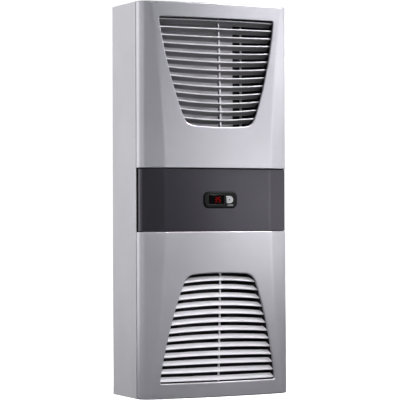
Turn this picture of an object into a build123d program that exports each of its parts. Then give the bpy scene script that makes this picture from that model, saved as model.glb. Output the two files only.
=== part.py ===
from build123d import *
import math
import os

# Enclosure air-to-air heat exchanger, millimetres.
# Origin at the middle of the footprint, +Z up, front faces -Y, back plane at +Y.

# ---------------------------------------------------------------- overall
width = 400.0
height = 950.0
depth = 195.0                 # over the bulged covers
hw = width / 2
y_back = depth / 2            # back plane
y_front = -depth / 2          # foremost edges of the covers, next to the control band
y_seam = y_back - 141.0       # rear edge of the front covers
z_mid = height / 2

# ---------------------------------------------------------------- housing
sheet = 3.0                   # panel thickness
back_t = 5.0
frame_depth = 20.0            # front frame strips, along Y
frame_w = 12.0                # front frame strips, inwards
seam_gap = 1.5
y_frame_front = y_seam + seam_gap
y_frame_back = y_frame_front + frame_depth
y_back_in = y_back - back_t   # inner face of the back panel

# ---------------------------------------------------------------- bowed front
bow_r = 1215.0                # plan radius of the middle of the front
bulge = 11.0                  # mid height stands this far before top and bottom
bow_cy = y_front + bow_r      # centre of the bow next to the control band
crease_mid = 141.0            # half width of the crease at mid height
crease_end = 178.5            # half width of the crease at top and bottom
crease_pow = 2.2              # how the crease flares
corner_r = 24.0
corner_cx = hw - corner_r
corner_cy = y_seam - 4.0
cover_t = 3.0
band_half = 75.0              # half height of the control band
cover_gap = 1.0
band_recess = 3.5
band_drop = 2.0               # further set-back of the band's middle
band_t = 3.0
cover_z0 = z_mid + band_half + cover_gap

# ---------------------------------------------------------------- air openings in the covers
open_top_z, open_bot_z = 913.0, 650.9
open_low_z = 655.5            # ends of the arched inner edge
open_top_hw = 154.5
open_mid = (131.8, 790.0)
open_low = (100.0, 684.0)
open_low_hw = 87.5
open_low_r = 30.0
open_top_r = 4.0

# ---------------------------------------------------------------- grilles
slat_pitch = 20.0
slat_n = 13
slat_top_z = 908.8            # lip of the highest slat
slat_t = 3.6                  # measured upright
slat_depth = 15.5
slat_rise = 9.5               # lip above the rear edge
lip_back = 7.0                # lips behind the face of the cover
ring_t = 4.0
ring_gap = 0.6
rib_x = 5.5                   # the rib stands a little to the right
rib_w = 4.0
rib_back = 3.0                # rib behind the lips
rib_depth = 15.0

# ---------------------------------------------------------------- controller
bezel_w, bezel_h, bezel_r = 86.0, 37.0, 12.0
bezel_front = y_front + 2.5
bezel_back = y_front + band_recess + band_drop + 2.0
pocket = 2.0                  # depth of the display and key pockets
disp_x0, disp_x1, disp_z0, disp_z1 = -33.0, 10.5, 464.5, 486.5
key_x0, key_x1, key_z0, key_z1 = 15.0, 33.5, 466.5, 484.5
small_x0, small_x1, small_z0, small_z1 = 17.0, 34.0, 459.3, 464.3
digit_w, digit_h, digit_stroke = 7.0, 13.0, 1.5

# ---------------------------------------------------------------- fixing and air slots at the back
fix_dx, fix_dz, fix_r = 350.0, 880.0, 4.5
slot_w, slot_h = 76.0, 8.0
slot_px, slot_pz = 92.0, 18.0
slot_nx, slot_nz = 3, 9
slot_up_z, slot_low_z = 770.0, 180.0
gasket_w, gasket_d, gasket_in = 10.0, 3.0, 4.0

# ---------------------------------------------------------------- inside
part_y0, part_y1 = 21.0, 23.0     # partition between outer and inner air
core_w, core_z0, core_z1 = 300.0, 330.0, 620.0
core_y0, core_y1 = -21.0, 67.0
plate_t, plate_pitch = 2.0, 10.0
fan_r, fan_eye_r, fan_blade_n = 82.0, 52.0, 9
motor_r, motor_len = 36.0, 14.0
impeller_len = 34.0
outer_fan_z, inner_fan_z = 180.0, 770.0

os.makedirs("parts", exist_ok=True)


# ---------------------------------------------------------------- shared outlines
def crease_x(z):
    u = abs(z - z_mid) / z_mid
    return crease_mid + (crease_end - crease_mid) * u ** crease_pow


def set_back(z):
    """How far the middle of the front lies behind the covers' edges next to the band."""
    return bulge * ((z - z_mid) ** 2 - (band_half + cover_gap) ** 2) / z_mid ** 2


def plan_face(z, inset, y_rear, drop=0.0):
    """Plan of the bowed front at height z: bow, crease, wing, corner, side."""
    r_bow = bow_r - inset
    cy = bow_cy + set_back(z) + drop
    xc = crease_x(z) - 0.17 * inset
    yc = cy - math.sqrt(r_bow * r_bow - xc * xc)
    r = corner_r - inset
    base = math.atan2(yc - corner_cy, xc - corner_cx)
    reach = math.acos(r / math.hypot(xc - corner_cx, yc - corner_cy))
    a_t = base + reach                       # where the wing meets the corner
    a_m = a_t / 2 if a_t < 0 else (a_t - 2 * math.pi) / 2
    xt, yt = corner_cx + r * math.cos(a_t), corner_cy + r * math.sin(a_t)
    xm, ym = corner_cx + r * math.cos(a_m), corner_cy + r * math.sin(a_m)
    xs = hw - inset
    with BuildSketch(Plane.XY.offset(z)) as sk:
        with BuildLine():
            ThreePointArc((-xc, yc), (0, cy - r_bow), (xc, yc))
            Line((xc, yc), (xt, yt))
            ThreePointArc((xt, yt), (xm, ym), (xs, corner_cy))
            Line((xs, corner_cy), (xs, y_rear))
            Line((xs, y_rear), (-xs, y_rear))
            Line((-xs, y_rear), (-xs, corner_cy))
            ThreePointArc((-xs, corner_cy), (-xm, ym), (-xt, yt))
            Line((-xt, yt), (-xc, yc))
        make_face()
    return sk.sketch


def opening_face(y, grow):
    """Upper air opening as a face at depth y, grown outwards by an amount."""
    with BuildSketch(Plane.XZ.offset(-y)) as sk:
        with BuildLine():
            Line((-open_top_hw, open_top_z), (open_top_hw, open_top_z))
            ThreePointArc((open_top_hw, open_top_z), open_mid, open_low)
            Line(open_low, (open_low_hw, open_low_z))
            ThreePointArc((open_low_hw, open_low_z), (0, open_bot_z), (-open_low_hw, open_low_z))
            Line((-open_low_hw, open_low_z), (-open_low[0], open_low[1]))
            ThreePointArc((-open_low[0], open_low[1]), (-open_mid[0], open_mid[1]), (-open_top_hw, open_top_z))
        make_face()
        low = sk.vertices().filter_by(lambda v: abs(v.Y - open_low_z) < 0.01 or abs(v.Z - open_low_z) < 0.01)
        fillet(low, radius=open_low_r)
        top = sk.vertices().filter_by(lambda v: abs(v.Y - open_top_z) < 0.01 or abs(v.Z - open_top_z) < 0.01)
        fillet(top, radius=open_top_r)
        if grow > 0:
            offset(amount=grow, kind=Kind.ARC, mode=Mode.REPLACE)
    return sk.sketch


def slabs(zs):
    """Three even heights between two ends."""
    return [zs[0], (zs[0] + zs[1]) / 2, zs[1]]


# ================================================================ rear housing
with BuildPart() as back_panel:
    with BuildSketch(Plane.XZ.offset(-y_back)):
        with Locations((0, z_mid)):
            Rectangle(width, height)
        with Locations((0, z_mid)):
            with GridLocations(fix_dx, fix_dz, 2, 2):
                Circle(fix_r, mode=Mode.SUBTRACT)
        for slot_z in (slot_up_z, slot_low_z):
            with Locations((0, slot_z)):
                with GridLocations(slot_px, slot_pz, slot_nx, slot_nz):
                    Rectangle(slot_w, slot_h, mode=Mode.SUBTRACT)
    extrude(amount=back_t)
    # groove that beds the gasket
    with BuildSketch(Plane.XZ.offset(-y_back)):
        with Locations((0, z_mid)):
            Rectangle(width - 2 * gasket_in, height - 2 * gasket_in)
            Rectangle(width - 2 * (gasket_in + gasket_w), height - 2 * (gasket_in + gasket_w), mode=Mode.SUBTRACT)
    extrude(amount=gasket_d, mode=Mode.SUBTRACT)
back_panel.part.label = "back_panel"

with BuildPart() as rear_gasket:
    with BuildSketch(Plane.XZ.offset(-y_back)):
        with Locations((0, z_mid)):
            Rectangle(width - 2 * gasket_in, height - 2 * gasket_in)
            Rectangle(width - 2 * (gasket_in + gasket_w), height - 2 * (gasket_in + gasket_w), mode=Mode.SUBTRACT)
    extrude(amount=gasket_d)
rear_gasket.part.label = "rear_gasket"

with BuildPart() as left_side_panel:
    with BuildSketch(Plane.XY):
        with Locations((-hw, y_frame_back)):
            Rectangle(sheet, y_back_in - y_frame_back, align=(Align.MIN, Align.MIN))
    extrude(amount=height)
left_side_panel.part.label = "left_side_panel"

with BuildPart() as right_side_panel:
    with BuildSketch(Plane.XY):
        with Locations((hw, y_frame_back)):
            Rectangle(sheet, y_back_in - y_frame_back, align=(Align.MAX, Align.MIN))
    extrude(amount=height)
right_side_panel.part.label = "right_side_panel"

with BuildPart() as top_panel:
    with BuildSketch(Plane.XY.offset(height - sheet)):
        with Locations((0, y_frame_back)):
            Rectangle(width - 2 * sheet, y_back_in - y_frame_back, align=(Align.CENTER, Align.MIN))
    extrude(amount=sheet)
top_panel.part.label = "top_panel"

with BuildPart() as bottom_panel:
    with BuildSketch(Plane.XY):
        with Locations((0, y_frame_back)):
            Rectangle(width - 2 * sheet, y_back_in - y_frame_back, align=(Align.CENTER, Align.MIN))
    extrude(amount=sheet)
bottom_panel.part.label = "bottom_panel"

# ================================================================ front frame
with BuildPart() as front_frame_left:
    with BuildSketch(Plane.XY):
        with Locations((-hw, y_frame_front)):
            Rectangle(frame_w, frame_depth, align=(Align.MIN, Align.MIN))
    extrude(amount=height)
front_frame_left.part.label = "front_frame_left"

with BuildPart() as front_frame_right:
    with BuildSketch(Plane.XY):
        with Locations((hw, y_frame_front)):
            Rectangle(frame_w, frame_depth, align=(Align.MAX, Align.MIN))
    extrude(amount=height)
front_frame_right.part.label = "front_frame_right"

with BuildPart() as front_frame_top:
    with BuildSketch(Plane.XY.offset(height - frame_w)):
        with Locations((0, y_frame_front)):
            Rectangle(width - 2 * frame_w, frame_depth, align=(Align.CENTER, Align.MIN))
    extrude(amount=frame_w)
front_frame_top.part.label = "front_frame_top"

with BuildPart() as front_frame_bottom:
    with BuildSketch(Plane.XY):
        with Locations((0, y_frame_front)):
            Rectangle(width - 2 * frame_w, frame_depth, align=(Align.CENTER, Align.MIN))
    extrude(amount=frame_w)
front_frame_bottom.part.label = "front_frame_bottom"

with BuildPart() as centre_rail:
    with BuildSketch(Plane.XY.offset(z_mid - 10)):
        with Locations((0, y_frame_front)):
            Rectangle(width - 2 * frame_w, frame_depth, align=(Align.CENTER, Align.MIN))
    extrude(amount=20)
centre_rail.part.label = "centre_rail"

# dark seal that shows as the seam between frame and covers
with BuildPart() as cover_seal:
    with BuildSketch(Plane.XZ.offset(-y_frame_front)):
        with Locations((0, z_mid)):
            Rectangle(width - 3, height - 3)
            Rectangle(width - 2 * frame_w, height - 2 * frame_w, mode=Mode.SUBTRACT)
    extrude(amount=seam_gap)
cover_seal.part.label = "cover_seal"

# ================================================================ front covers
with BuildPart() as upper_front_cover:
    loft([plan_face(z, 0, y_seam) for z in slabs((cover_z0, height))])
    loft(
        [plan_face(z, cover_t, y_seam + 1) for z in slabs((cover_z0 + cover_t, height - cover_t))],
        mode=Mode.SUBTRACT,
    )
    extrude(opening_face(-60, 0), amount=60, mode=Mode.SUBTRACT)
upper_front_cover.part.label = "upper_front_cover"

with BuildPart() as lower_front_cover:
    mirror(upper_front_cover.part, about=Plane.XY.offset(z_mid))
lower_front_cover.part.label = "lower_front_cover"

with BuildPart() as control_band:
    loft([plan_face(z, band_recess, y_seam, band_drop) for z in slabs((z_mid - band_half, z_mid + band_half))])
    loft(
        [
            plan_face(z, band_recess + band_t, y_seam + 1, band_drop)
            for z in slabs((z_mid - band_half + band_t, z_mid + band_half - band_t))
        ],
        mode=Mode.SUBTRACT,
    )
    # seat of the controller
    with BuildSketch(Plane.XZ.offset(-bezel_back)):
        with Locations((0, z_mid)):
            RectangleRounded(bezel_w, bezel_h, bezel_r)
    extrude(amount=20, mode=Mode.SUBTRACT)
control_band.part.label = "control_band"

# ================================================================ grilles
bow_axis = Axis((0, bow_cy, 0), (0, 0, 1))
sweep_deg = 18.0
a0 = math.radians(-sweep_deg / 2)
bow_plane = Plane(
    origin=(0, bow_cy, 0),
    x_dir=(math.sin(a0), -math.cos(a0), 0),
    z_dir=(-math.cos(a0), -math.sin(a0), 0),
)
r_lip = bow_r - lip_back
r_rear = r_lip - slat_depth
r_ring = bow_r - cover_t - 0.4

ring_z0, ring_z1 = open_bot_z - 20, open_top_z + 20

with BuildPart() as grille_ring:
    with BuildSketch(bow_plane):
        Polygon(
            (r_ring - set_back(ring_z0), ring_z0),
            (r_ring - set_back(ring_z1), ring_z1),
            (r_rear - set_back(ring_z1), ring_z1),
            (r_rear - set_back(ring_z0), ring_z0),
            align=None,
        )
    revolve(axis=bow_axis, revolution_arc=sweep_deg)
    extrude(opening_face(-40, ring_gap + ring_t), amount=70, mode=Mode.INTERSECT)
    extrude(opening_face(-40, ring_gap), amount=70, mode=Mode.SUBTRACT)

rib_z0, rib_z1 = open_bot_z - 2, open_top_z + 2

with BuildPart() as upper_grille:
    with BuildSketch(bow_plane):
        with Locations(*[(-set_back(slat_top_z - slat_pitch * i), slat_top_z - slat_pitch * i) for i in range(slat_n)]):
            Polygon(
                (r_lip, -slat_t / 2),
                (r_lip, slat_t / 2),
                (r_rear, slat_t / 2 - slat_rise),
                (r_rear, -slat_t / 2 - slat_rise),
                align=None,
            )
    revolve(axis=bow_axis, revolution_arc=sweep_deg)
    extrude(opening_face(-40, ring_gap + 1), amount=70, mode=Mode.INTERSECT)
    with BuildSketch(Plane.YZ.offset(rib_x - rib_w / 2)):
        Polygon(
            (y_front + set_back(rib_z0) + lip_back + rib_back, rib_z0),
            (y_front + set_back(rib_z1) + lip_back + rib_back, rib_z1),
            (y_front + set_back(rib_z1) + lip_back + rib_back + rib_depth, rib_z1),
            (y_front + set_back(rib_z0) + lip_back + rib_back + rib_depth, rib_z0),
            align=None,
        )
    extrude(amount=rib_w)
    add(grille_ring.part)
upper_grille.part.label = "upper_grille"

with BuildPart() as lower_grille:
    mirror(upper_grille.part, about=Plane.XY.offset(z_mid))
lower_grille.part.label = "lower_grille"

# ================================================================ controller
with BuildPart() as controller_bezel:
    with BuildSketch(Plane.XZ.offset(-bezel_back)):
        with Locations((0, z_mid)):
            RectangleRounded(bezel_w, bezel_h, bezel_r)
    extrude(amount=bezel_back - bezel_front)
    with BuildSketch(Plane.XZ.offset(-(bezel_front + pocket))):
        with Locations(((disp_x0 + disp_x1) / 2, (disp_z0 + disp_z1) / 2)):
            RectangleRounded(disp_x1 - disp_x0, disp_z1 - disp_z0, 1.5)
        with Locations(((key_x0 + key_x1) / 2, (key_z0 + key_z1) / 2)):
            RectangleRounded(key_x1 - key_x0, key_z1 - key_z0, 6)
        with Locations(((small_x0 + small_x1) / 2, (small_z0 + small_z1) / 2)):
            RectangleRounded(small_x1 - small_x0, small_z1 - small_z0, 2)
    extrude(amount=10, mode=Mode.SUBTRACT)
controller_bezel.part.label = "controller_bezel"

with BuildPart() as display_window:
    with BuildSketch(Plane.XZ.offset(-(bezel_front + pocket))):
        with Locations(((disp_x0 + disp_x1) / 2, (disp_z0 + disp_z1) / 2)):
            RectangleRounded(disp_x1 - disp_x0, disp_z1 - disp_z0, 1.5)
    extrude(amount=pocket - 0.6)
display_window.part.label = "display_window"

with BuildPart() as display_digits:
    with BuildSketch(Plane.XZ.offset(-(bezel_front + 0.6))):
        for digit_x in (-12.5, -3.0):
            with Locations((digit_x, (disp_z0 + disp_z1) / 2)):
                Rectangle(digit_w, digit_h)
                with GridLocations(0, (digit_h - digit_stroke) / 2, 1, 2):
                    Rectangle(
                        digit_w - 2 * digit_stroke,
                        (digit_h - 3 * digit_stroke) / 2,
                        mode=Mode.SUBTRACT,
                    )
    extrude(amount=0.3)
display_digits.part.label = "display_digits"

with BuildPart() as set_key:
    with BuildSketch(Plane.XZ.offset(-(bezel_front + pocket))):
        with Locations(((key_x0 + key_x1) / 2, (key_z0 + key_z1) / 2)):
            RectangleRounded(key_x1 - key_x0, key_z1 - key_z0, 6)
    extrude(amount=pocket + 1.0)
set_key.part.label = "set_key"

with BuildPart() as function_key:
    with BuildSketch(Plane.XZ.offset(-(bezel_front + pocket))):
        with Locations(((small_x0 + small_x1) / 2, (small_z0 + small_z1) / 2)):
            RectangleRounded(small_x1 - small_x0, small_z1 - small_z0, 2)
    extrude(amount=pocket + 0.6)
function_key.part.label = "function_key"

# ================================================================ inside
with BuildPart() as upper_baffle_plate:
    with BuildSketch(Plane.XY.offset(590)):
        with Locations((-hw + frame_w, y_frame_front + 0.5)):
            Rectangle(248, 2, align=(Align.MIN, Align.MIN))
    extrude(amount=height - frame_w - 590)
upper_baffle_plate.part.label = "upper_baffle_plate"

with BuildPart() as guide_bar:
    with BuildSketch(Plane.XY.offset(z_mid + 10)):
        with Locations((83, y_frame_front + 0.5)):
            Rectangle(4, 6, align=(Align.CENTER, Align.MIN))
    extrude(amount=height - frame_w - z_mid - 10)
guide_bar.part.label = "guide_bar"

with BuildPart() as upper_partition:
    with BuildSketch(Plane.XY.offset(core_z1)):
        with Locations((0, part_y0)):
            Rectangle(width - 2 * sheet, part_y1 - part_y0, align=(Align.CENTER, Align.MIN))
    extrude(amount=height - sheet - core_z1)
upper_partition.part.label = "upper_partition"

with BuildPart() as lower_partition:
    with BuildSketch(Plane.XY.offset(sheet)):
        with Locations((0, part_y0)):
            Rectangle(width - 2 * sheet, part_y1 - part_y0, align=(Align.CENTER, Align.MIN))
    extrude(amount=core_z0 - sheet)
lower_partition.part.label = "lower_partition"

plate_n = int(core_w / plate_pitch) + 1
with BuildPart() as exchanger_core:
    with BuildSketch(Plane.XY.offset(core_z0)):
        with Locations((0, (core_y0 + core_y1) / 2)):
            Rectangle(core_w + plate_t, core_y1 - core_y0)
    extrude(amount=plate_t)
    with BuildSketch(Plane.XY.offset(core_z1 - plate_t)):
        with Locations((0, (core_y0 + core_y1) / 2)):
            Rectangle(core_w + plate_t, core_y1 - core_y0)
    extrude(amount=plate_t)
    with BuildSketch(Plane.XY.offset(core_z0)):
        with Locations((0, (core_y0 + core_y1) / 2)):
            with GridLocations(plate_pitch, 0, plate_n, 1):
                Rectangle(plate_t, core_y1 - core_y0)
    extrude(amount=core_z1 - core_z0)
exchanger_core.part.label = "exchanger_core"

# outer air fan on the front of the lower partition, eye towards the lower grille
with BuildPart() as outer_fan_motor:
    with BuildSketch(Plane.XZ.offset(-part_y0)):
        with Locations((0, outer_fan_z)):
            Circle(motor_r)
    extrude(amount=motor_len)
outer_fan_motor.part.label = "outer_fan_motor"

with BuildPart() as outer_fan_impeller:
    with BuildSketch(Plane.XZ.offset(-(part_y0 - motor_len))):
        with Locations((0, outer_fan_z)):
            Circle(fan_r)
    extrude(amount=2)
    with BuildSketch(Plane.XZ.offset(-(part_y0 - motor_len))):
        with Locations((0, outer_fan_z)):
            with PolarLocations(63, fan_blade_n):
                Rectangle(34, 2, rotation=40)
    extrude(amount=impeller_len)
    with BuildSketch(Plane.XZ.offset(-(part_y0 - motor_len - impeller_len + 2))):
        with Locations((0, outer_fan_z)):
            Circle(fan_r)
            Circle(fan_eye_r, mode=Mode.SUBTRACT)
    extrude(amount=2)
outer_fan_impeller.part.label = "outer_fan_impeller"

# inner air fan on the rear of the upper partition, eye towards the upper slots
with BuildPart() as inner_fan_motor:
    with BuildSketch(Plane.XZ.offset(-part_y1)):
        with Locations((0, inner_fan_z)):
            Circle(motor_r)
    extrude(amount=-motor_len)
inner_fan_motor.part.label = "inner_fan_motor"

with BuildPart() as inner_fan_impeller:
    with BuildSketch(Plane.XZ.offset(-(part_y1 + motor_len))):
        with Locations((0, inner_fan_z)):
            Circle(fan_r)
    extrude(amount=-2)
    with BuildSketch(Plane.XZ.offset(-(part_y1 + motor_len))):
        with Locations((0, inner_fan_z)):
            with PolarLocations(63, fan_blade_n):
                Rectangle(34, 2, rotation=40)
    extrude(amount=-impeller_len)
    with BuildSketch(Plane.XZ.offset(-(part_y1 + motor_len + impeller_len - 2))):
        with Locations((0, inner_fan_z)):
            Circle(fan_r)
            Circle(fan_eye_r, mode=Mode.SUBTRACT)
    extrude(amount=-2)
inner_fan_impeller.part.label = "inner_fan_impeller"

# ================================================================ files
pieces = [
    back_panel, rear_gasket, left_side_panel, right_side_panel, top_panel, bottom_panel,
    front_frame_left, front_frame_right, front_frame_top, front_frame_bottom, centre_rail,
    cover_seal, upper_front_cover, lower_front_cover, control_band, upper_grille, lower_grille,
    controller_bezel, display_window, display_digits, set_key, function_key,
    upper_baffle_plate, guide_bar, upper_partition, lower_partition, exchanger_core,
    outer_fan_motor, outer_fan_impeller, inner_fan_motor, inner_fan_impeller,
]
for piece in pieces:
    export_step(piece.part, "parts/" + piece.part.label + ".step")
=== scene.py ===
import math

import bmesh
import bpy
import numpy as np
from mathutils import Matrix, Vector
from mathutils.geometry import delaunay_2d_cdt


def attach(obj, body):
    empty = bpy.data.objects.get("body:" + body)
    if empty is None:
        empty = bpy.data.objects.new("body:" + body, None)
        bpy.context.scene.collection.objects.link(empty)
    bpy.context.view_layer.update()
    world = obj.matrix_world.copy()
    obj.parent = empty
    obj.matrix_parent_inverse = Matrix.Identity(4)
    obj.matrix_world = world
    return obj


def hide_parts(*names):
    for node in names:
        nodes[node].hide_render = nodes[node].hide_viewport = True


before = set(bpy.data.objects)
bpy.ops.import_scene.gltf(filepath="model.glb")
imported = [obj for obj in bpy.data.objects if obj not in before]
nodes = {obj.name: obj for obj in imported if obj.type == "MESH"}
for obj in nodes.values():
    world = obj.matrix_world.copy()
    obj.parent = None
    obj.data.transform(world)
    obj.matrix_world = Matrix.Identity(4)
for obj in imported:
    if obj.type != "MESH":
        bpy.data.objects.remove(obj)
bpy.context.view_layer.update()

scene = bpy.context.scene

# ====================================================================== shape of the unit, millimetres
HW, HEIGHT, Z_MID = 200.0, 950.0, 475.0
Y_BACK, Y_FRONT, Y_SEAM = 97.5, -97.5, -43.5
BOW_R = 1215.0
BULGE = 11.0
CORNER_R = 24.0
CCX, CCY = HW - CORNER_R, Y_SEAM - 4.0
COVER_CORNER = (CORNER_R, CCX, CCY)
BAND_CORNER = (14.0, HW - 14.0, Y_SEAM - 9.0)
MM = 0.001


def crease(z):
    return 141.0 + 37.5 * (abs(z - Z_MID) / Z_MID) ** 2.2


def apex_y(z):
    """Foremost line of the front: it bulges in elevation too."""
    return Y_FRONT + BULGE * ((z - Z_MID) ** 2 - 76.0 ** 2) / Z_MID ** 2


def bow_y(x, z, inset=0.0):
    return apex_y(z) + BOW_R - math.sqrt((BOW_R - inset) ** 2 - x * x)


# ====================================================================== mesh helpers
def make_object(name, verts, faces, sharp=40.0, scale=MM):
    """A mesh object from points in millimetres, smooth shaded up to an angle."""
    me = bpy.data.meshes.new(name)
    me.from_pydata([tuple(float(c) * scale for c in v) for v in verts], [], [list(f) for f in faces])
    me.validate()
    ob = bpy.data.objects.new(name, me)
    scene.collection.objects.link(ob)
    shade(ob, sharp)
    return ob


def shade(ob, sharp=40.0):
    me = ob.data
    me.polygons.foreach_set("use_smooth", [True] * len(me.polygons))
    me.set_sharp_from_angle(angle=math.radians(sharp))
    me.update()


def orient(ob, probe=None, outward=None):
    """Faces turned one way. For a closed mesh outwards, for a shell along 'outward' at the face nearest 'probe'."""
    bm = bmesh.new()
    bm.from_mesh(ob.data)
    bmesh.ops.remove_doubles(bm, verts=bm.verts, dist=1e-7)
    bmesh.ops.recalc_face_normals(bm, faces=bm.faces)
    if probe is not None:
        p = Vector(probe) * MM
        near = min(bm.faces, key=lambda f: (f.calc_center_median() - p).length)
        if near.normal.dot(Vector(outward)) < 0:
            bmesh.ops.reverse_faces(bm, faces=bm.faces)
    bm.to_mesh(ob.data)
    bm.free()
    return ob


def mirrored(ob, name):
    """Copy of a piece mirrored about mid height."""
    me = ob.data.copy()
    me.name = name
    me.transform(Matrix.Translation((0, 0, 2 * Z_MID * MM)) @ Matrix.Scale(-1, 4, (0, 0, 1)))
    me.flip_normals()
    other = bpy.data.objects.new(name, me)
    scene.collection.objects.link(other)
    shade(other)
    return other


def solidify(ob, thickness, offset=-1.0):
    m = ob.modifiers.new("sheet", "SOLIDIFY")
    m.thickness = thickness * MM
    m.offset = offset
    m.use_even_offset = False
    m.use_rim = True
    return ob


def join_parts(name, parts, sharp=40.0):
    """One mesh from several (verts, faces) lists."""
    verts, faces = [], []
    for v, f in parts:
        base = len(verts)
        verts += list(v)
        faces += [[i + base for i in q] for q in f]
    return make_object(name, verts, faces, sharp)


def tube_grid(rows, closed_u=True, cap=True):
    """Quads over equal rows of points; rows are closed loops when closed_u; flat caps at both ends."""
    n = len(rows[0])
    verts = [p for r in rows for p in r]
    faces = []
    for i in range(len(rows) - 1):
        for j in range(n if closed_u else n - 1):
            k = (j + 1) % n
            faces.append([i * n + j, i * n + k, (i + 1) * n + k, (i + 1) * n + j])
    if cap:
        faces.append(list(range(n))[::-1])
        faces.append([(len(rows) - 1) * n + j for j in range(n)])
    return verts, faces


def inside(poly, p):
    x, y = p
    hit = False
    j = len(poly) - 1
    for i in range(len(poly)):
        xi, yi = poly[i]
        xj, yj = poly[j]
        if (yi > y) != (yj > y) and x < (xj - xi) * (y - yi) / (yj - yi) + xi:
            hit = not hit
        j = i
    return hit


def fill_between(outer, holes, extra):
    """Triangles of the area between an outer loop and hole loops, with extra inner points.
    Points come back in the order outer, holes, extra."""
    pts = list(outer)
    edges = [(i, (i + 1) % len(outer)) for i in range(len(outer))]
    for h in holes:
        b = len(pts)
        pts += list(h)
        edges += [(b + i, b + (i + 1) % len(h)) for i in range(len(h))]
    pts += list(extra)
    res = delaunay_2d_cdt([Vector(p) for p in pts], edges, [], 0, 1e-6)
    vs, tris, origin = res[0], res[2], res[3]
    back = [o[0] for o in origin]
    out = []
    for t in tris:
        c = (sum(vs[i][0] for i in t) / 3, sum(vs[i][1] for i in t) / 3)
        if inside(outer, c) and not any(inside(h, c) for h in holes):
            out.append([back[i] for i in t])
    return pts, out


# ====================================================================== bowed front
BLEND = 6.0
N_C, N_B, N_W, N_A, N_S, N_R, N_F = 20, 6, 6, 14, 2, 4, 2
SEAM_ROLL = 1.5


def half_profile(z, d, drop=0.0, corner=COVER_CORNER, flange=8.0):
    """Plan of the right half of the front at height z, set in by d, from the middle to the seam flange."""
    rb = BOW_R - d
    bcy = apex_y(z) + BOW_R + drop
    xc = crease(z) - 0.17 * d
    yc = bcy - math.sqrt(rb * rb - xc * xc)
    r, ccx, ccy = corner[0] - d, corner[1], corner[2]
    a_t = math.atan2(yc - ccy, xc - ccx) + math.acos(r / math.hypot(xc - ccx, yc - ccy))
    tx, ty = ccx + r * math.cos(a_t), ccy + r * math.sin(a_t)
    wing = math.hypot(tx - xc, ty - yc)
    ux, uy = (tx - xc) / wing, (ty - yc) / wing
    b = min(BLEND, 0.5 * wing)
    pts = []
    for i in range(N_C + 1):
        x = i / N_C * (xc - b)
        pts.append((x, bcy - math.sqrt(rb * rb - x * x)))
    ax, ay = pts[-1]
    bx, by = xc + ux * b, yc + uy * b
    for i in range(1, N_B + 1):
        t = i / N_B
        pts.append(((1 - t) ** 2 * ax + 2 * t * (1 - t) * xc + t * t * bx,
                    (1 - t) ** 2 * ay + 2 * t * (1 - t) * yc + t * t * by))
    for i in range(1, N_W + 1):
        t = i / N_W
        pts.append((bx + (tx - bx) * t, by + (ty - by) * t))
    for i in range(1, N_A + 1):
        a = a_t * (1 - i / N_A)
        pts.append((ccx + r * math.cos(a), ccy + r * math.sin(a)))
    xs = HW - d
    for i in range(1, N_S + 1):
        pts.append((xs, ccy + (Y_SEAM - SEAM_ROLL - ccy) * i / N_S))
    for i in range(1, N_R + 1):
        a = 0.5 * math.pi * i / N_R
        pts.append((xs - SEAM_ROLL + SEAM_ROLL * math.cos(a), Y_SEAM - SEAM_ROLL + SEAM_ROLL * math.sin(a)))
    for i in range(1, N_F + 1):
        pts.append((xs - SEAM_ROLL - (flange - SEAM_ROLL) * i / N_F, Y_SEAM))
    return pts


def full_row(z, d, drop=0.0, corner=COVER_CORNER):
    h = half_profile(z, d, drop, corner)
    return [(-x, y, z) for x, y in h[:0:-1]] + [(x, y, z) for x, y in h]


N_HALF = N_C + N_B + N_W + N_A + N_S + N_R + N_F
C_LO, C_HI = N_HALF - N_C, N_HALF + N_C       # columns of the middle field


def inner_edge(x):
    """Height of the opening's edge next to the control band."""
    return 650.9 + 5.0 * (x / 90.0) ** 2


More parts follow.
